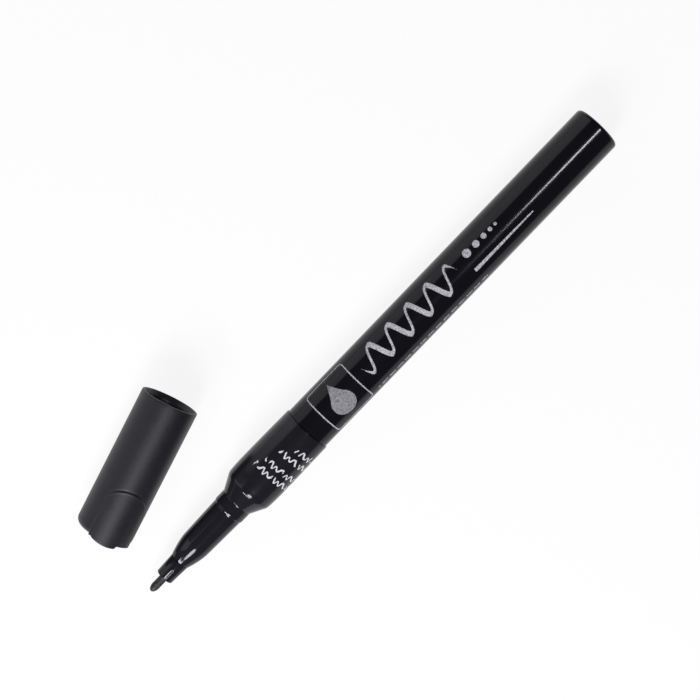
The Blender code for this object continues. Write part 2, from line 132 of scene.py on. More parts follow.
def turnPiece(name, line, outline, sides, roundSteps=6):
    pickNothing()
    here = spot(line, *outline[0][:2])
    bpy.ops.mesh.primitive_plane_add(size=mm, location=here)
    piece = bpy.context.object
    piece.name = name
    piece.data.name = name
    bpy.ops.object.transform_apply(location=True, rotation=True, scale=True)
    bpy.ops.object.mode_set(mode="EDIT")
    bpy.ops.mesh.select_mode(type="VERT")
    bpy.ops.mesh.select_all(action="SELECT")
    bpy.ops.mesh.merge(type="CENTER")
    for point in outline[1:]:
        there = spot(line, *point[:2])
        bpy.ops.mesh.extrude_region_move(TRANSFORM_OT_translate={"value": there - here})
        here = there
    for point in outline:
        if len(point) > 2:
            roundCorner(piece, spot(line, *point[:2]), point[2], roundSteps)
    bpy.ops.mesh.select_all(action="SELECT")
    bpy.ops.mesh.spin(steps=sides, angle=tau, center=line["start"], axis=line["along"])
    bpy.ops.mesh.select_all(action="SELECT")
    bpy.ops.mesh.remove_doubles(threshold=mergeReach)
    bpy.ops.mesh.normals_make_consistent(inside=False)
    bpy.ops.object.mode_set(mode="OBJECT")
    return piece


def onlyActive(piece):
    pickNothing()
    piece.select_set(True)
    bpy.context.view_layer.objects.active = piece


def applyModifier(piece, kind, **settings):
    onlyActive(piece)
    bpy.ops.object.modifier_add(type=kind)
    modifier = piece.modifiers[-1]
    for key, value in settings.items():
        setattr(modifier, key, value)
    bpy.ops.object.modifier_apply(modifier=modifier.name)


def finishShading(piece):
    onlyActive(piece)
    bpy.ops.object.shade_smooth_by_angle(angle=sharpAngle)
    applyModifier(piece, "WEIGHTED_NORMAL", keep_sharp=True, weight=100)


def setPiece(piece, body, node, look):
    piece.data.materials.clear()
    piece.data.materials.append(look)
    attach(piece, body)
    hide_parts(node)
    print(piece.name, "ready:", len(piece.data.polygons), "faces")


# Shading: a socket that takes part in sums, and the material that its nodes belong to
class Flow:
    def __init__(self, look, socket):
        self.look = look
        self.socket = socket

    def other(self, name):
        return Flow(self.look, self.socket.node.outputs[name])

    def __add__(self, value):
        return self.look.sum("ADD", self, value)

    def __radd__(self, value):
        return self.look.sum("ADD", value, self)

    def __sub__(self, value):
        return self.look.sum("SUBTRACT", self, value)

    def __rsub__(self, value):
        return self.look.sum("SUBTRACT", value, self)

    def __mul__(self, value):
        return self.look.sum("MULTIPLY", self, value)

    def __rmul__(self, value):
        return self.look.sum("MULTIPLY", value, self)

    def __truediv__(self, value):
        return self.look.sum("DIVIDE", self, value)

    def __abs__(self):
        return self.look.sum("ABSOLUTE", self)


class Look:
    def __init__(self, name, fixed):
        self.material = bpy.data.materials.new(name)
        self.material.use_nodes = True
        self.tree = self.material.node_tree
        self.shader = self.tree.nodes["Principled BSDF"]
        self.feed(fixed)
        self.place = self.node("ShaderNodeTexCoord", output="Object")

    def node(self, kind, settings=None, sockets=None, output=0):
        made = self.tree.nodes.new(kind)
        for key, value in (settings or {}).items():
            setattr(made, key, value)
        self.connect(made, sockets or {})
        return Flow(self, made.outputs[output])

    def connect(self, made, sockets):
        for key, value in sockets.items():
            if isinstance(value, Flow):
                self.tree.links.new(value.socket, made.inputs[key])
            else:
                made.inputs[key].default_value = value

    def feed(self, sockets):
        self.connect(self.shader, sockets)

    def sum(self, operation, *values):
        return self.node("ShaderNodeMath", {"operation": operation}, dict(enumerate(values)))

    def rise(self, value, low, high):
        # 0 below low, 1 above high, smooth between them
        sockets = {"Value": value, "From Min": low, "From Max": high}
        return self.node("ShaderNodeMapRange", {"interpolation_type": "SMOOTHSTEP"}, sockets)

    def blend(self, share, first, second):
        return self.node("ShaderNodeMix", {"data_type": "RGBA"}, {0: share, 6: first, 7: second}, 2)

    def noise(self, pattern, vector=None):
        # a pattern is a scale, a detail and, if it isn't 0.5, a roughness
        scale, detail, roughness = (*pattern, 0.5)[:3]
        vector = vector or self.place
        sockets = {"Vector": vector, "Scale": scale, "Detail": detail, "Roughness": roughness}
        return self.node("ShaderNodeTexNoise", {}, sockets)

    def bump(self, height, depth):
        return self.node("ShaderNodeBump", {}, {"Height": height, "Distance": depth, "Strength": 1.0})

    def stretched(self, scale):
        sockets = {"Vector": self.place, "Scale": scale}
        return self.node("ShaderNodeMapping", {"vector_type": "TEXTURE"}, sockets)

    def penCoordinates(self, radius):
        # millimetres along the pen from its tail, and round it from its top towards the cap
        split = self.node("ShaderNodeSeparateXYZ", sockets={"Vector": self.place})
        along = (tailCentre.x - split) / mm
        side = (split.other("Y") - tailCentre.y) / mm
        up = (split.other("Z") - tailCentre.z) / mm
        around = self.sum("ARCTAN2", side, up) * radius
        return along, around


def plainLook(name, finish):
    # a darker and a paler tint in clouds, with a fine grain
    look = Look(name, finish["fixed"])
    cloud = look.noise(finish["clouds"])
    look.feed({"Base Color": look.blend(cloud, finish["darker"], finish["paler"])})
    look.feed({"Roughness": finish["roughness"] + cloud * finish["cloudRoughness"]})
    look.feed({"Normal": look.bump(look.noise(finish["grain"]), finish["depth"])})
    return look.material


# Barrel: lacquered tube with a generic silver print
barrelSizes = {
    "radius": (barrelHigh.y - barrelLow.y) / 2 / mm,
    "length": (barrelHigh.x - barrelLow.x) / mm + seatGap - jointLine,
    "wall": 0.4,
    "base": 0.6,
    "baseRound": 0.3,
    "tailRound": 0.8,
    "rimRound": 0.06,
    "roundSteps": 8,
    "sides": 160,
}

barrelPrint = {
    "silver": (0.54, 0.54, 0.55, 1),
    "dull": (0.18, 0.18, 0.19, 1),  # where the foil is thin
    "edge": 0.06,
    "frame": (77.75, -0.5, 5.2, 6.0, 0.9, 0.26),  # middle along and round, half sizes, corner, line
    "drop": (77.75, -1.7, 2.75, 5.6),  # middle of its belly along and round, radius, height to its point
    "dropShade": 0.45,
    "neckFoot": 0.3,  # where the drop's neck starts and its width there, as shares of its radius
    "neckFade": 0.02,
    "neckWidth": 0.955,
    "neckCurve": 1.25,
    "strokeFrom": 41.6,
    "strokeTo": 70.2,
    "strokeWave": 5.72,  # from crest to crest
    "strokeHeight": 2.5,
    "strokeThick": 1.15,
    "strokeThin": 0.5,
    "strokeTaper": 1.8,
    "strokeSlope": 1.6,  # at which it is thickest on its way up, and thinnest on its way down
    "strokeAround": 0.7,
    "dots": ((37.8, 0.95), (35.1, 0.78), (32.8, 0.62), (30.9, 0.48), (29.4, 0.36)),  # station and radius
    "dotAround": 1.6,
    "wedge": (22.1, 39.1, -2.3, 0.14, 0.42),  # from, to, round, half thickness at each end
    "rule": (37.6, 70.6, -5.75, 0.26, 2.3, 1.7),  # from, to, round, width, pitch and length of its dashes
}


def within(look, value, half, edge):
    return 1 - look.rise(value, half - edge, half + edge)


def span(look, along, start, stop, edge):
    return look.rise(along, start - edge, start + edge) * (1 - look.rise(along, stop - edge, stop + edge))


def apart(look, first, second):
    return look.sum("SQRT", first * first + second * second)


def frameMask(look, along, around, design):
    middle, aside, halfAlong, halfAround, corner, line = design["frame"]
    over = look.sum("MAXIMUM", abs(along - middle) - (halfAlong - corner), 0)
    above = look.sum("MAXIMUM", abs(around - aside) - (halfAround - corner), 0)
    inner = look.sum("MAXIMUM", abs(along - middle) - halfAlong, abs(around - aside) - halfAround) + corner
    away = look.sum("MAXIMUM", apart(look, over, above), look.sum("MINIMUM", inner, corner))
    return within(look, abs(away - corner), line / 2, design["edge"])


def dropMask(look, along, around, design):
    # a round belly under a point, with sides that curve in
    middle, aside, radius, height = design["drop"]
    up = around - aside
    belly = within(look, apart(look, along - middle, up), radius, design["edge"])
    foot = radius * design["neckFoot"]
    rest = look.sum("MAXIMUM", 1 - (up - foot) / (height - foot), 0)
    width = look.sum("POWER", rest, design["neckCurve"]) * (radius * design["neckWidth"])
    neck = within(look, abs(along - middle) - width, 0, design["edge"])
    fade = radius * design["neckFade"]
    return look.sum("MAXIMUM", belly, neck * look.rise(up, foot - fade, foot + fade))


def strokeMask(look, along, around, design):
    # a brush stroke that runs to and fro, thick on its way up and thin on its way down
    pace = tau / design["strokeWave"]
    turn = (along - design["strokeFrom"]) * pace
    swing = design["strokeHeight"]
    lean = look.sum("COSINE", turn) * (swing * pace)
    away = abs(around - design["strokeAround"] - look.sum("SINE", turn) * swing)
    away = away / look.sum("SQRT", lean * lean + 1)
    swell = design["strokeThick"] - design["strokeThin"]
    start, stop, taper = design["strokeFrom"], design["strokeTo"], design["strokeTaper"]
    ends = look.rise(along, start, start + taper) * (1 - look.rise(along, stop - taper, stop))
    steep = design["strokeSlope"]
    thickness = (design["strokeThin"] + look.rise(lean, -steep, steep) * swell) * ends
    line = within(look, away - thickness / 2, 0, design["edge"])
    return line * span(look, along, start, stop, design["edge"])


def printMask(look, along, around, design):
    edge = design["edge"]
    mask = frameMask(look, along, around, design) + strokeMask(look, along, around, design)
    mask = mask + dropMask(look, along, around, design) * (1 - design["dropShade"])
    for station, radius in design["dots"]:
        mask = mask + within(look, apart(look, along - station, around - design["dotAround"]), radius, edge)
    start, stop, aside, thin, thick = design["wedge"]
    half = thin + (along - start) * ((thick - thin) / (stop - start))
    mask = mask + within(look, abs(around - aside) - half, 0, edge) * span(look, along, start, stop, edge)
    start, stop, aside, width, pitch, dash = design["rule"]
    phase = abs(look.sum("WRAP", along - start, pitch, 0.0) - pitch / 2)
    rule = within(look, abs(around - aside), width / 2, edge) * span(look, along, start, stop, edge)
    return look.sum("MINIMUM", mask + rule * within(look, phase, dash / 2, edge), 1)


barrelFinish = {
    "ior": 1.33,
    "black": (0.0036, 0.0034, 0.0052, 1),
    "cloudy": (0.0058, 0.0056, 0.0076, 1),
    "clouds": (260, 3),
    "dust": (2400, 2),
    "dustLevels": (0.66, 0.8),
    "wear": (3600, 3, 0.65),  # of the print
    "wearLevels": (0.34, 0.6),
    "waves": (300, 0),
    "roughness": 0.13,
    "cloudRoughness": 0.03,
    "dustRoughness": 0.03,
    "printRoughness": 0.25,
    "depth": 0.003 * mm,
    "waveHeight": 0.25,  # shares of the depth
    "printHeight": 0.4,
}


def lacquerLook(finish):
    look = Look("barrelLacquer", {"IOR": finish["ior"]})
    along, around = look.penCoordinates(barrelSizes["radius"])
    mask = printMask(look, along, around, barrelPrint)
    cloud = look.noise(finish["clouds"])
    dust = look.rise(look.noise(finish["dust"]), *finish["dustLevels"])
    black = look.blend(cloud, finish["black"], finish["cloudy"])
    worn = look.rise(look.noise(finish["wear"]), *finish["wearLevels"])
    speckled = look.blend(worn, barrelPrint["dull"], barrelPrint["silver"])
    look.feed({"Base Color": look.blend(mask, black, speckled)})
    matt = finish["roughness"] + cloud * finish["cloudRoughness"] + dust * finish["dustRoughness"]
    look.feed({"Roughness": matt + mask * finish["printRoughness"]})
    height = look.noise(finish["waves"]) * finish["waveHeight"] + mask * finish["printHeight"]
    look.feed({"Normal": look.bump(height, finish["depth"])})
    return look.material


def makeBarrel(sizes):
    radius, length, wall = sizes["radius"], sizes["length"], sizes["wall"]
    outline = [
        (0, 0),
        (0, radius, sizes["tailRound"]),
        (length, radius, sizes["rimRound"]),
        (length, radius - wall, sizes["rimRound"]),
        (sizes["base"], radius - wall, sizes["baseRound"]),
        (sizes["base"], 0),
    ]
    barrel = turnPiece("lacqueredBarrel", penLine, outline, sizes["sides"], sizes["roundSteps"])
    finishShading(barrel)
    setPiece(barrel, "pen", "barrel", lacquerLook(barrelFinish))


makeBarrel(barrelSizes)


# Front section: spigot, grip, shoulder, snap bead, nose and ogive, with its stepped bore
sectionLow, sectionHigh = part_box("front_section")
sectionSizes = {
    "spigotRear": (tailCentre.x - sectionHigh.x) / mm,
    "spigotRadius": 4.95,
    "ribs": 3,
    "ribWidth": 0.9,
    "ribHeight": 0.25,
    "ribRound": 0.1,
    "gripStart": barrelSizes["length"] + jointLine,
    "gripRadius": 5.65,
    "gripEdge": 0.1,
    "bellyAt": 14.3,  # from the grip's rear edge
    "bellyRadius": (sectionHigh.y - sectionLow.y) / 2 / mm,
    "bellySteps": (8, 5),  # up to the belly and down again
    "gripLength": 18.2,
    "gripRound": 0.45,
    "shoulderLength": 3.6,
    "shoulderFoot": 0.15,
    "beadRadius": 3.8,
    "beadLength": 2.9,
    "beadRun": 0.42,
    "beadRound": 0.15,
    "noseRadius": 3.63,
    "noseLength": 12.6,
    "noseFrontRadius": 3.38,
    "ogiveEnd": (tailCentre.x - sectionLow.x) / mm,
    "ogivePower": 1.6,
    "ogiveSteps": 14,
    "lipRadius": 2.275,
    "lipRound": 0.08,
    "boreRadii": (1.775, 2.325, 4.05),  # round the holder, the nib and the valve
    "holderDepth": 5.5,  # of the holder's hole, from the front edge
    "snapDepth": 13.0,  # of the snap lip behind the valve's seat
    "snapHeight": 0.2,
    "snapLength": 0.4,
    "roundSteps": 8,
    "sides": 160,
}


def spigotOutline(sizes):
    pitch = (sizes["gripStart"] - seatGap - sizes["spigotRear"]) / sizes["ribs"]
    top = sizes["spigotRadius"]
    root = top - sizes["ribHeight"]
    outline = []
    for rib in range(sizes["ribs"]):
        start = sizes["spigotRear"] + rib * pitch
        stop = start + sizes["ribWidth"]
        outline += [(start, top, sizes["ribRound"]), (stop, top, sizes["ribRound"]), (stop, root)]
        outline += [(start + pitch if rib + 1 < sizes["ribs"] else sizes["gripStart"], root)]
    return outline


def gripOutline(sizes):
    start = sizes["gripStart"]
    end = start + sizes["gripLength"]
    swell = sizes["bellyRadius"] - sizes["gripRadius"]
    outline = [(start, sizes["gripRadius"], sizes["gripEdge"])]
    rearSteps, frontSteps = sizes["bellySteps"]
    for step in range(1, rearSteps + 1):
        share = step / rearSteps
        outline.append((start + sizes["bellyAt"] * share, sizes["gripRadius"] + swell * sin(share * pi / 2)))
    front = sizes["gripLength"] - sizes["bellyAt"]
    for step in range(1, frontSteps):
        share = step / frontSteps
        radius = sizes["gripRadius"] + swell * cos(share * pi / 2)
        outline.append((start + sizes["bellyAt"] + front * share, radius))
    return outline + [(end, sizes["gripRadius"], sizes["gripRound"])]


def noseOutline(sizes):
    shoulderEnd = sizes["gripStart"] + sizes["gripLength"] + sizes["shoulderLength"]
    beadEnd = shoulderEnd + sizes["beadLength"]
    noseEnd = shoulderEnd + sizes["noseLength"]
    outline = [(shoulderEnd, sizes["beadRadius"], sizes["shoulderFoot"])]
    outline += [(beadEnd - sizes["beadRun"], sizes["beadRadius"], sizes["beadRound"])]
    outline += [(beadEnd, sizes["noseRadius"], sizes["beadRound"])]
    drop = sizes["noseFrontRadius"] - sizes["lipRadius"]
    for step in range(sizes["ogiveSteps"] + 1):
        share = step / sizes["ogiveSteps"]
        radius = sizes["lipRadius"] + drop * (1 - share ** sizes["ogivePower"])
        outline.append((noseEnd + (sizes["ogiveEnd"] - noseEnd) * share, radius))
    outline[-1] += (sizes["lipRound"],)
    return outline


def sectionBore(sizes):
    holder, nib, valve = sizes["boreRadii"]
    holderStep = sizes["ogiveEnd"] - sizes["holderDepth"]
    valveStep = sizes["gripStart"] + sizes["gripLength"]
    lip = valve - sizes["snapHeight"]
    snapFront = valveStep - sizes["snapDepth"]
    snapRear = snapFront - sizes["snapLength"]
    outline = [(sizes["ogiveEnd"], holder), (holderStep, holder), (holderStep, nib), (valveStep, nib)]
    outline += [(valveStep, valve), (snapFront, valve), (snapFront, lip), (snapRear, lip)]
    return outline + [(snapRear - sizes["snapHeight"], valve), (sizes["spigotRear"], valve)]


sectionPrint = {
    "white": (0.62, 0.62, 0.62, 1),
    "edge": 0.06,
    "line": 0.32,
    "height": 0.62,  # of the scribble, to each side of its line
    "wave": 1.5,
    "word": 4.3,
    "gap": 0.55,
    "gapEdge": 0.05,
    "wobblePace": 1.9,  # the wave runs now faster, now slower, and unlike from line to line
    "wobbleStep": 1.3,
    "wobble": 0.9,
    "waveStep": 2.1,
    "swellPace": 2.3,  # and grows and shrinks by this share
    "swell": 0.25,
    "lines": ((99.8, 2.65), (97.6, 1.5), (94.3, 0.45), (92.0, -1.95)),  # station, and start round the grip
    "stop": -9.6,
}


def scribbleMask(look, along, around, design):
    # four lines of scribble round the grip, broken into words
    pace = tau / design["wave"]
    mask = 0.0
    for number, (station, start) in enumerate(design["lines"]):
        wobble = look.sum("SINE", around * design["wobblePace"] + number * design["wobbleStep"])
        turn = around * pace + wobble * design["wobble"] + number * design["waveStep"]
        swell = look.sum("SINE", around * design["swellPace"] + number) * design["swell"]
        swing = design["height"] * (1 - design["swell"] + swell)
        lean = look.sum("COSINE", turn) * swing * pace
        away = abs(along - station - look.sum("SINE", turn) * swing) / look.sum("SQRT", lean * lean + 1)
        word = look.sum("WRAP", start - around, design["word"], 0.0)
        shown = look.rise(word, design["gap"] - design["gapEdge"], design["gap"] + design["gapEdge"])
        shown = shown * span(look, around, design["stop"], start + design["gap"], design["edge"])
        mask = mask + within(look, away, design["line"] / 2, design["edge"]) * shown
    return look.sum("MINIMUM", mask, 1)


sectionFinish = {
    "ior": 1.36,
    "black": (0.0085, 0.0082, 0.0106, 1),
    "cloudy": (0.0120, 0.0116, 0.0146, 1),
    "clouds": (300, 3),
    "grain": (2600, 2),
    "polish": (104.6, 105.6),  # the grip's satin ends between these stations
    "roughness": 0.09,
    "cloudRoughness": 0.03,
    "satinRoughness": 0.08,
    "printRoughness": 0.2,
    "seam": (0.03, 0.09),  # half widths of the mould's parting line, where it is full and where it ends
    "depth": 0.005 * mm,
    "grainHeight": 0.12,
    "printHeight": 0.3,
}


def sectionLook(finish):
    look = Look("sectionPlastic", {"IOR": finish["ior"]})
    along, around = look.penCoordinates(sectionSizes["gripRadius"])
    mask = scribbleMask(look, along, around, sectionPrint)
    cloud = look.noise(finish["clouds"])
    black = look.blend(cloud, finish["black"], finish["cloudy"])
    look.feed({"Base Color": look.blend(mask, black, sectionPrint["white"])})
    satin = 1 - look.rise(along, *finish["polish"])
    matt = finish["roughness"] + cloud * finish["cloudRoughness"] + satin * finish["satinRoughness"]
    look.feed({"Roughness": matt + mask * finish["printRoughness"]})
    flank = abs(abs(around) - sectionSizes["gripRadius"] * pi / 2)
    seam = 1 - look.rise(flank, *finish["seam"])
    height = look.noise(finish["grain"]) * finish["grainHeight"] + seam + mask * finish["printHeight"]
    look.feed({"Normal": look.bump(height, finish["depth"])})
    return look.material


sectionPlastic = sectionLook(sectionFinish)


def makeSection(sizes):
    outline = spigotOutline(sizes) + gripOutline(sizes) + noseOutline(sizes) + sectionBore(sizes)
    section = turnPiece("gripSection", penLine, outline + outline[:1], sizes["sides"], sizes["roundSteps"])
    finishShading(section)
    setPiece(section, "pen", "front_section", sectionPlastic)


makeSection(sectionSizes)


# Nib holder: slotted collar on a spigot
holderLow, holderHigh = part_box("nib_holder")
holderSizes = {
    "rear": (tailCentre.x - holderHigh.x) / mm,
    "front": (tailCentre.x - holderLow.x) / mm,
    "collarStart": sectionSizes["ogiveEnd"] + seatGap,
    "collarRadius": 2.225,
    "frontRadius": 2.025,
    "frontRound": 0.3,
    "rimRound": 0.08,  # at the collar's rear and round its bore
    "spigotRadius": 1.725,
    "spigotRound": 0.1,
    "bore": 1.025,
    "slotWidth": 0.5,
    "slotLean": radians(10),  # from upright, away from the cap
    "slotLength": 2.8,
    "slotRound": 0.1,
    "slotEdge": 0.04,
    "ringBehindSlot": 0.12,  # keeps the collar's shading smooth round the slot
    "sides": 96,
}


def makeHolder(sizes):
    slotEnd = sizes["front"] - sizes["slotLength"] - sizes["ringBehindSlot"]
    share = (slotEnd - sizes["collarStart"]) / (sizes["front"] - sizes["collarStart"])
    outline = [
        (sizes["rear"], sizes["bore"]),
        (sizes["rear"], sizes["spigotRadius"], sizes["spigotRound"]),
        (sizes["collarStart"], sizes["spigotRadius"]),
        (sizes["collarStart"], sizes["collarRadius"], sizes["rimRound"]),
        (slotEnd, sizes["collarRadius"] + (sizes["frontRadius"] - sizes["collarRadius"]) * share),
        (sizes["front"], sizes["frontRadius"], sizes["frontRound"]),
        (sizes["front"], sizes["bore"], sizes["rimRound"]),
        (slotEnd, sizes["bore"]),
    ]
    holder = turnPiece("slottedCollar", penLine, outline + outline[:1], sizes["sides"])
    pickNothing()
    size = Vector((sizes["slotLength"] * 2, sizes["slotWidth"], sizes["collarRadius"] * 4)) * mm
    place = spot(penLine, sizes["front"], 0)
    bpy.ops.mesh.primitive_cube_add(size=1, location=place, rotation=(sizes["slotLean"], 0, 0), scale=size)
    slot = bpy.context.object
    bpy.ops.object.transform_apply(location=True, rotation=True, scale=True)
    bpy.ops.object.mode_set(mode="EDIT")
    bpy.ops.mesh.select_all(action="SELECT")
    bpy.ops.mesh.bevel(offset=sizes["slotRound"] * mm, segments=4)
    bpy.ops.object.mode_set(mode="OBJECT")
    applyModifier(holder, "BOOLEAN", operation="DIFFERENCE", object=slot, solver="EXACT")
    bpy.data.objects.remove(slot)
    edge = sizes["slotEdge"] * mm
    applyModifier(holder, "BEVEL", width=edge, segments=2, limit_method="ANGLE", angle_limit=radians(45))
    finishShading(holder)
    setPiece(holder, "pen", "nib_holder", sectionPlastic)


makeHolder(holderSizes)


# Nib: a stick of pressed fibre, ground to a bullet and wet with paint
nibLow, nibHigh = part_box("nib")
nibSizes = {
    "rear": (tailCentre.x - nibHigh.x) / mm,
    "tip": (tailCentre.x - nibLow.x) / mm,
    "radius": (nibHigh.y - nibLow.y) / 2 / mm,
    "rearRound": 0.15,
    "bullet": 1.6,
    "bulletSteps": 13,
    "sides": 96,
}

fibreFinish = {
    "ior": 1.4,
    "dry": ((0.010, 0.010, 0.011, 1), (0.055, 0.055, 0.056, 1)),  # between the strands and on them
    "wet": (0.008, 0.008, 0.009, 1),
    # pale fibre seen through the collar's slot: a painted highlight for the glint there
    "paintedHighlight": ((0.66, 0.66, 0.65, 1), (0.88, 0.88, 0.87, 1)),
    "strands": (6000, 3, 0.6),
    "strandStretch": (6, 1, 1),
    "patches": (1500, 2),
    "wetLevels": (0.42, 0.6),
    "stain": (-0.3, 0.1),  # where the paint's black starts and is full, from the collar's front; behind that, the fibre carries a pale painted highlight
    "stainRagged": 1.2,
    "roughness": 0.62,
    "wetShine": 0.3,
    "strandRoughness": 0.1,
    "depth": 0.03 * mm,
}


def fibreLook(finish):
    look = Look("inkedFibre", {"IOR": finish["ior"]})
    fromCollar = look.penCoordinates(nibSizes["radius"])[0] - holderSizes["front"]
    strands = look.noise(finish["strands"], look.stretched(finish["strandStretch"]))
    patches = look.noise(finish["patches"])
    wet = look.rise(patches, *finish["wetLevels"])
    inked = look.blend(wet, look.blend(strands, *finish["dry"]), finish["wet"])
    # behind the collar's front the fibre is painted pale, a painted highlight in the slot
    highlightShare = 1 - look.rise(fromCollar + (patches - 0.5) * finish["stainRagged"], *finish["stain"])
    look.feed({"Base Color": look.blend(highlightShare, inked, look.blend(strands, *finish["paintedHighlight"]))})
    matt = finish["roughness"] - wet * finish["wetShine"] + strands * finish["strandRoughness"]
    look.feed({"Roughness": matt})
    look.feed({"Normal": look.bump(strands, finish["depth"])})
    return look.material


def makeNib(sizes):
    shoulder = sizes["tip"] - sizes["bullet"]
    outline = [(sizes["rear"], 0), (sizes["rear"], sizes["radius"], sizes["rearRound"])]
    for step in range(sizes["bulletSteps"]):
        turn = pi / 2 * step / sizes["bulletSteps"]
        outline.append((shoulder + sizes["bullet"] * sin(turn), sizes["radius"] * cos(turn)))
    outline.append((sizes["tip"], 0))
    nib = turnPiece("fibreNib", penLine, outline, sizes["sides"])
    finishShading(nib)
    setPiece(nib, "plunger", "nib", fibreLook(fibreFinish))


makeNib(nibSizes)


# Cap: turned shell with a raised roll-stop lug at its closed end
capSizes = {
    "radius": 6.44,
    "endRadius": 6.39,
    "length": 32.2,
    "bore": 5.4,
    "boreEnd": 30.91,
    "boreRound": 0.2,
    "lipRound": 0.2,
    "flare": 0.56,
    "flareRound": 0.08,
    "endRound": 1.7,
    "endSteps": 40,
    "wallFrom": (1, 19.1, 24.9),  # before, round and behind the crown of the lug's arch, and the rings there
    "wallRings": (8, 72, 12),
    "faceFrom": (0.05, 0.55),  # from the rounding inwards, where the end face has close rings
    "faceRings": 10,
    "faceMiddle": 3.0,
    "roundSteps": 5,
    "sides": 400,
}
lugSizes = {
    "height": 0.14,
    "slope": 0.4,  # width of the step on its outline
    "ridge": 0.028,  # along its outline, with as deep a groove beside it
    "ridgeReach": 0.3,
    "ridgeShift": 0.8,  # how far ridge and groove lie from the outline, as a share of their reach
    "skin": 0.3,  # what lies nearer to the bore stays as it is
    "leftReach": 4.8,  # round the cap, from the crown of its arch
    "rightReach": 6.3,
    "crown": 20.3,  # from the mouth
    "archRadius": 6.3,
    "overhang": 0.82,
    "bow": 0.047,  # how fast the overhanging tab draws back to its sides
    "bowMiddle": 0.2,
    "tabRight": -2.0,  # round the cap from the crown
    "tabLeft": 3.9,
    "tabSlope": 0.4,
    "endRound": 0.25,
    "endWall": 0.25,
}


def evenly(start, stop, count):
    return [start + (stop - start) * step / count for step in range(count)]


def capOutline(sizes):
    radius, end = sizes["radius"], sizes["length"]
    wallEnd = end - sizes["endRound"]
    taper = (radius - sizes["endRadius"]) / end
    inside = [(sizes["boreEnd"], 0), (sizes["boreEnd"], sizes["bore"], sizes["boreRound"])]
    inside += [(2 * sizes["flare"], sizes["bore"], sizes["boreRound"])]
    inside += [(0, sizes["bore"] + sizes["flare"], sizes["flareRound"]), (0, radius, sizes["lipRound"])]
    wall = []
    stops = (*sizes["wallFrom"][1:], wallEnd)
    for start, stop, rings in zip(sizes["wallFrom"], stops, sizes["wallRings"]):
        wall += [(station, radius - taper * station) for station in evenly(start, stop, rings)]
    middle = sizes["endRadius"] - sizes["endRound"]
    crown = []
    for step in range(sizes["endSteps"] + 1):
        turn = pi / 2 * step / sizes["endSteps"]
        crown.append((wallEnd + sizes["endRound"] * sin(turn), middle + sizes["endRound"] * cos(turn)))
    start, stop = sizes["faceFrom"]
    face = [(end, reach) for reach in evenly(middle - start, middle - stop, sizes["faceRings"])]
    return inside + wall + crown + face + [(end, sizes["faceMiddle"]), (end, 0)]


def smooth(value):
    value = min(max(value, 0), 1)
    return value * value * (3 - 2 * value)


def lugDepth(station, aside, sizes):
    # how far a point of the cap lies inside the lug's outline
    side = min(sizes["leftReach"] - aside, sizes["rightReach"] + aside)
    archCentre = sizes["crown"] + sizes["archRadius"]
    if station > archCentre:
        return side
    return min(side, sizes["archRadius"] - hypot(aside, archCentre - station))


def hump(value, reach):
    return max(1 - (value / reach) ** 2, 0) ** 2


def lugPoint(station, radius, aside, cap, lug):
    # where a point of the plain cap goes on the lug, which keeps its full height to a square end
    wallEnd = cap["length"] - cap["endRound"]
    middle = cap["endRadius"] - cap["endRound"]
    top = cap["endRadius"] + lug["height"]
    tab = min(aside - lug["tabRight"], lug["tabLeft"] - aside) / lug["tabSlope"] + 0.5
    overhang = (lug["overhang"] - lug["bow"] * (aside - lug["bowMiddle"]) ** 2) * smooth(tab)
    end = cap["length"] + overhang
    if station < wallEnd:
        return station, radius + lug["height"]
    if radius < middle:
        rim = smooth((radius - middle + lug["endWall"] * 1.5) / lug["endWall"])
        return station + overhang * rim, radius
    bend = lug["endRound"]
    rise = end - bend - wallEnd
    corner = bend * pi / 2
    inward = top - bend - middle
    turn = asin(min(max(station - wallEnd, 0) / cap["endRound"], 1))
    way = turn / (pi / 2) * (rise + corner + inward)
    if way < rise:
        return wallEnd + way, top
    if way < rise + corner:
        angle = (way - rise) / bend
        return end - bend + bend * sin(angle), top - bend + bend * cos(angle)
    return end, top - bend - (way - rise - corner)


def raiseLug(piece, line, cap, lug):
    across = line["along"].cross(line["out"])
    wallEnd = cap["length"] - cap["endRound"]
    reach = lug["ridgeReach"]
    for vertex in piece.data.vertices:
        offset = vertex.co - line["start"]
        station = offset.dot(line["along"]) / mm
        spoke = offset - line["along"] * offset.dot(line["along"])
        radius = spoke.length / mm
        onWall = radius > cap["bore"] + lug["skin"] and station >= cap["wallFrom"][0]
        onEnd = station > cap["boreEnd"] + lug["skin"] and radius > cap["faceMiddle"] / 2
        if not onWall and not onEnd:
            continue
        aside = atan2(spoke.dot(across), spoke.dot(line["out"])) * cap["radius"]
        depth = lugDepth(station, aside, lug)
        if depth < -2 * reach:
            continue
        newStation, newRadius = lugPoint(station, radius, aside, cap, lug)
        goal = line["start"] + (line["along"] * newStation + spoke.normalized() * newRadius) * mm
        vertex.co = vertex.co.lerp(goal, smooth(depth / lug["slope"] + 0.5))
        shift = reach * lug["ridgeShift"]
        ridge = hump(depth - shift, reach) - hump(depth + shift, reach)
        vertex.co += spoke.normalized() * (lug["ridge"] * ridge * smooth(wallEnd - station) * mm)


capFinish = {
    "ior": 1.5,
    "black": (0.0030, 0.0027, 0.0052, 1),
    "greyer": (0.0086, 0.0080, 0.0124, 1),
    "clouds": (160, 3),
    "mottle": (1300, 3, 0.6),
    "mottleShare": 0.6,  # of the colour's change; the clouds make the rest
    "grain": (7000, 2),
    "smudges": (420, 4, 0.6),
    "smudgeLevels": (0.5, 0.75),
    "roughness": 0.43,
    "cloudRoughness": 0.04,
    "mottleRoughness": 0.07,
    "smudgeShine": 0.05,
    "depth": 0.007 * mm,
    "mottleHeight": 0.8,
}


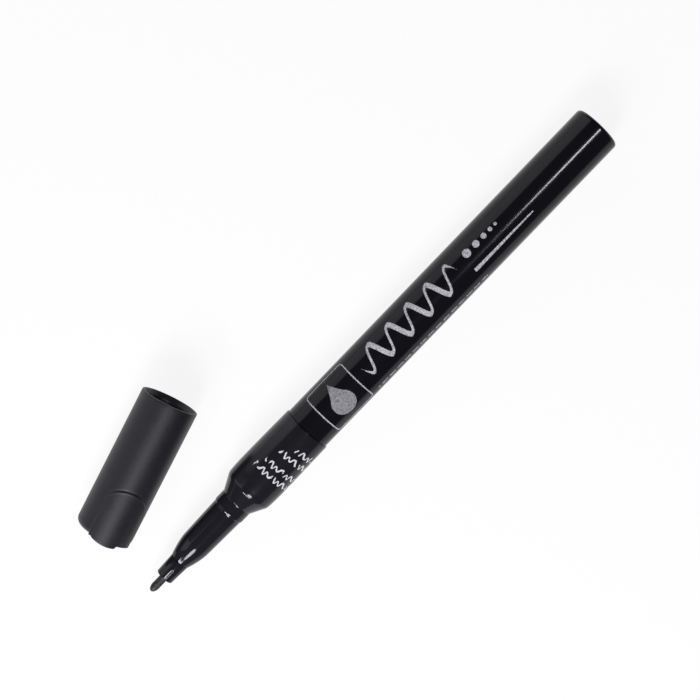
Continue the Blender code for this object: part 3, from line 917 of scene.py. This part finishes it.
def capLook(finish):
    look = Look("capPlastic", {"IOR": finish["ior"]})
    cloud = look.noise(finish["clouds"])
    mottle = look.noise(finish["mottle"])
    smudge = look.rise(look.noise(finish["smudges"]), *finish["smudgeLevels"])
    share = cloud * (1 - finish["mottleShare"]) + mottle * finish["mottleShare"]
    look.feed({"Base Color": look.blend(share, finish["black"], finish["greyer"])})
    matt = finish["roughness"] + cloud * finish["cloudRoughness"] + mottle * finish["mottleRoughness"]
    look.feed({"Roughness": matt - smudge * finish["smudgeShine"]})
    height = look.noise(finish["grain"]) + mottle * finish["mottleHeight"]
    look.feed({"Normal": look.bump(height, finish["depth"])})
    return look.material


def makeCap(sizes, lug):
    cap = turnPiece("capShell", capLine, capOutline(sizes), sizes["sides"], sizes["roundSteps"])
    raiseLug(cap, capLine, sizes, lug)
    finishShading(cap)
    setPiece(cap, "cap", "cap_shell", capLook(capFinish))


makeCap(capSizes, lugSizes)


# Inner cap: sealing sleeve, seen only through the cap's mouth
sleeveSizes = {
    "outer": 5.35,
    "rim": 2.91,
    "rimRing": 6.81,
    "waist": 4.53,
    "rearRing": 29.21,
    "end": 30.81,
    "floor": 30.31,
    "beadPocket": 3.9,
    "beadEnd": 6.01,
    "nosePocket": 3.73,
    "noseEnd": 15.71,
    "noseFront": 3.48,
    "ogiveEnd": 20.91,
    "ogiveFront": 2.375,
    "collarEnd": 25.91,
    "collarFront": 2.225,
    "nibPocket": 1.225,
    "endRound": 0.2,
    "ringRound": 0.1,
    "mouthRound": 0.25,
    "ogiveSteps": 8,
    "sides": 120,
}

sleeveFinish = {
    "fixed": {"IOR": 1.5, "Subsurface Weight": 0.25, "Subsurface Scale": 0.6 * mm},
    "darker": (0.56, 0.56, 0.54, 1),
    "paler": (0.64, 0.64, 0.62, 1),
    "clouds": (200, 3),
    "grain": (3000, 2),
    "roughness": 0.36,
    "cloudRoughness": 0.1,
    "depth": 0.004 * mm,
}


def sleeveOgive(sizes):
    outline = []
    for step in range(sizes["ogiveSteps"] + 1):
        share = step / sizes["ogiveSteps"]
        station = sizes["noseEnd"] + (sizes["ogiveEnd"] - sizes["noseEnd"]) * share
        drop = (sizes["noseFront"] - sizes["ogiveFront"]) * share ** sectionSizes["ogivePower"]
        outline.append((station, sizes["noseFront"] - drop))
    return outline


def makeSleeve(sizes):
    outline = [
        (sizes["end"], 0),
        (sizes["end"], sizes["outer"], sizes["endRound"]),
        (sizes["rearRing"], sizes["outer"], sizes["ringRound"]),
        (sizes["rearRing"], sizes["waist"]),
        (sizes["rimRing"], sizes["waist"]),
        (sizes["rimRing"], sizes["outer"], sizes["ringRound"]),
        (sizes["rim"], sizes["outer"], sizes["endRound"]),
        (sizes["rim"], sizes["beadPocket"], sizes["mouthRound"]),
        (sizes["beadEnd"], sizes["beadPocket"]),
        (sizes["beadEnd"], sizes["nosePocket"], sizes["ringRound"]),
        *sleeveOgive(sizes),
        (sizes["collarEnd"], sizes["collarFront"]),
        (sizes["collarEnd"], sizes["nibPocket"]),
        (sizes["floor"], sizes["nibPocket"], sizes["endRound"]),
        (sizes["floor"], 0),
    ]
    sleeve = turnPiece("sealingSleeve", capLine, outline, sizes["sides"])
    finishShading(sleeve)
    milky = plainLook("milkySleeve", sleeveFinish)
    setPiece(sleeve, "cap", "inner_cap", milky)


makeSleeve(sleeveSizes)


# Valve spring: a finer coil, built at its rest length; in the pen it shortens as the nib is pressed
springLow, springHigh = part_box("valve_spring")
springSizes = {
    "wire": 0.4,
    "turns": 7,
    "endPitch": 0.85,
    "outer": (springHigh.y - springLow.y) / 2 / mm,
    "wireSides": 12,
    "steps": 36,
    "sharpAngle": radians(50),
    "travel": 1.6,  # of the nib
}

metal = {"fixed": {"Metallic": 1.0}, "cloudRoughness": 0.12, "depth": 0.003 * mm}
springFinish = {
    **metal,
    "darker": (0.476, 0.476, 0.4845, 1),
    "paler": (0.56, 0.56, 0.57, 1),
    "clouds": (3000, 3),
    "grain": (3000, 3),
    "roughness": 0.2,
}


def makeSpring(sizes):
    wire = sizes["wire"] / 2
    length = (springHigh.x - springLow.x) / mm - sizes["wire"]
    start = Vector((springHigh.x - wire * mm, tailCentre.y, tailCentre.z))
    pickNothing()
    bpy.ops.mesh.primitive_circle_add(vertices=sizes["wireSides"], radius=wire * mm, rotation=(pi / 2, 0, 0))
    spring = bpy.context.object
    spring.name = "valveCoil"
    spring.data.name = "valveCoil"
    spring.location = (0, 0, (sizes["outer"] - wire) * mm)
    bpy.ops.object.transform_apply(location=True, rotation=True, scale=True)
    count = sizes["turns"] * sizes["steps"]
    applyModifier(
        spring, "SCREW", axis="X", angle=tau * sizes["turns"], screw_offset=-length * mm, steps=count,
        render_steps=count, use_merge_vertices=False,
    )
    middlePitch = (length - 2 * sizes["endPitch"]) / (sizes["turns"] - 2)
    for index, vertex in enumerate(spring.data.vertices):
        turn = index // sizes["wireSides"] / sizes["steps"]
        ends = min(turn, 1) + max(turn - sizes["turns"] + 1, 0)
        wanted = sizes["endPitch"] * ends + middlePitch * (turn - ends)
        vertex.co.x += (length * turn / sizes["turns"] - wanted) * mm
    onlyActive(spring)
    bpy.ops.object.mode_set(mode="EDIT")
    bpy.ops.mesh.select_all(action="SELECT")
    bpy.ops.mesh.fill_holes(sides=0)
    bpy.ops.mesh.select_all(action="SELECT")
    bpy.ops.mesh.normals_make_consistent(inside=False)
    bpy.ops.object.mode_set(mode="OBJECT")
    spring.location = start
    bpy.ops.object.transform_apply(location=True, rotation=True, scale=True)
    onlyActive(spring)
    bpy.ops.object.shade_smooth_by_angle(angle=sizes["sharpAngle"])
    steel = plainLook("springSteel", springFinish)
    setPiece(spring, "pen", "valve_spring", steel)
    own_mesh(spring)


makeSpring(springSizes)


# The pieces inside the pen keep their solids and get their finishes
moulded = {
    "fixed": {"IOR": 1.5},
    "clouds": (500, 3),
    "grain": (4000, 2),
    "cloudRoughness": 0.1,
    "depth": 0.004 * mm,
}
sealFinish = {
    **moulded,
    "darker": (0.01936, 0.01936, 0.01936, 1),
    "paler": (0.022, 0.022, 0.022, 1),
    "roughness": 0.55,
}
stemFinish = {
    **moulded,
    "darker": (0.6336, 0.6336, 0.616, 1),
    "paler": (0.72, 0.72, 0.70, 1),
    "roughness": 0.38,
}
housingFinish = {
    **moulded,
    "darker": (0.528, 0.5104, 0.4664, 1),
    "paler": (0.60, 0.58, 0.53, 1),
    "roughness": 0.42,
}
ballFinish = {
    **metal,
    "darker": (0.51, 0.51, 0.5185, 1),
    "paler": (0.60, 0.60, 0.61, 1),
    "clouds": (1200, 3),
    "grain": (1200, 3),
    "roughness": 0.1,
}

insideLooks = {
    "valve_seat": plainLook("sealRubber", sealFinish),
    "valve_stem": plainLook("stemPlastic", stemFinish),
    "valve_housing": plainLook("housingPlastic", housingFinish),
    "mixing_ball": plainLook("ballSteel", ballFinish),
}
for nodeName, insideLook in insideLooks.items():
    nodeObject = frame["nodes"][nodeName]
    nodeObject.data.materials.clear()
    nodeObject.data.materials.append(insideLook)
print("inside pieces finished")


# Floor, lamps and surroundings
floorSetup = {
    "radius": 2.8,
    "sides": 96,
    "below": 0.02,
    "darker": (0.85, 0.85, 0.85, 1),
    "paler": (0.86, 0.86, 0.86, 1),
    "grain": (30, 2),
    "roughness": 0.9,
    "white": (1, 1, 1, 1),  # what the camera and mirroring faces see, by the share of the glow
    "glow": 0.88,
}


def makeFloor(setup):
    pickNothing()
    place = (0, 0, -setup["below"] * mm)
    sides, radius = setup["sides"], setup["radius"]
    bpy.ops.mesh.primitive_circle_add(vertices=sides, radius=radius, fill_type="NGON", location=place)
    floor = bpy.context.object
    floor.name = "paleFloor"
    look = Look("paleFloor", {"Roughness": setup["roughness"]})
    look.feed({"Base Color": look.blend(look.noise(setup["grain"]), setup["darker"], setup["paler"])})
    ray = look.node("ShaderNodeLightPath", output="Is Camera Ray")
    seen = ray + ray.other("Is Glossy Ray") + ray.other("Is Transmission Ray")
    white = look.node("ShaderNodeEmission", {}, {"Color": setup["white"], "Strength": 1.0})
    share = look.sum("MINIMUM", seen, 1) * setup["glow"]
    body = Flow(look, look.shader.outputs[0])
    mixed = look.node("ShaderNodeMixShader", {}, {0: share, 1: body, 2: white})
    look.tree.links.new(mixed.socket, look.tree.nodes["Material Output"].inputs["Surface"])
    floor.data.materials.append(look.material)


makeFloor(floorSetup)

# Each lamp: where it stands, what it looks at, its size across and along the pen, and its power
lampTint = (0.94, 0.93, 1.0)
lamps = {
    "tailLamp": {
        "place": (0.170, -0.192, 0.775), "aim": (0.055, -0.0127, 0.0057), "size": (0.05, 0.13),
        "power": 1.2, "shape": "RECTANGLE",
    },
    "nibLamp": {
        "place": (-0.383, -0.225, 0.465), "aim": (-0.056, -0.0127, 0.0085), "size": (0.21, 0.27),
        "power": 3.2, "shape": "ELLIPSE",
    },
    "frontLamp": {
        "place": (-0.535, -0.088, 0.362), "aim": (-0.056, -0.0127, 0.0085), "size": (0.34, 0.075),
        "power": 2.1, "shape": "RECTANGLE",
    },
    "sideLamp": {
        "place": (0.11, 0.95, 0.42), "aim": (0.02, -0.0127, 0.0057), "size": (0.84, 0.66),
        "power": 1.95, "shape": "RECTANGLE",
    },
    "capLamp": {
        "place": (-0.567, 0.819, 0.546), "aim": (-0.05, 0.008, 0.006), "size": (1.1, 0.4),
        "power": 1.4, "shape": "RECTANGLE",
    },
}


def makeLamp(name, setup):
    pickNothing()
    place = Vector(setup["place"])
    back = (place - Vector(setup["aim"])).normalized()
    along = (penLine["along"] - back * penLine["along"].dot(back)).normalized()
    turn = Matrix((along.cross(back), along, back)).transposed()
    bpy.ops.object.light_add(type="AREA", location=place, rotation=turn.to_euler())
    lamp = bpy.context.object
    lamp.name = name
    lamp.data.shape = setup["shape"]
    lamp.data.size, lamp.data.size_y = setup["size"]
    lamp.data.energy = setup["power"]
    lamp.data.color = lampTint


for lampName, lampSetup in lamps.items():
    makeLamp(lampName, lampSetup)

worldSetup = {"colour": (1, 1, 1, 1), "strength": 0.05}


def makeWorld(setup):
    world = bpy.data.worlds.new("studio")
    bpy.context.scene.world = world
    world.use_nodes = True
    background = world.node_tree.nodes["Background"]
    background.inputs["Color"].default_value = setup["colour"]
    background.inputs["Strength"].default_value = setup["strength"]


makeWorld(worldSetup)
bpy.context.scene.view_settings.view_transform = "Standard"
print("floor, lamps and world ready")
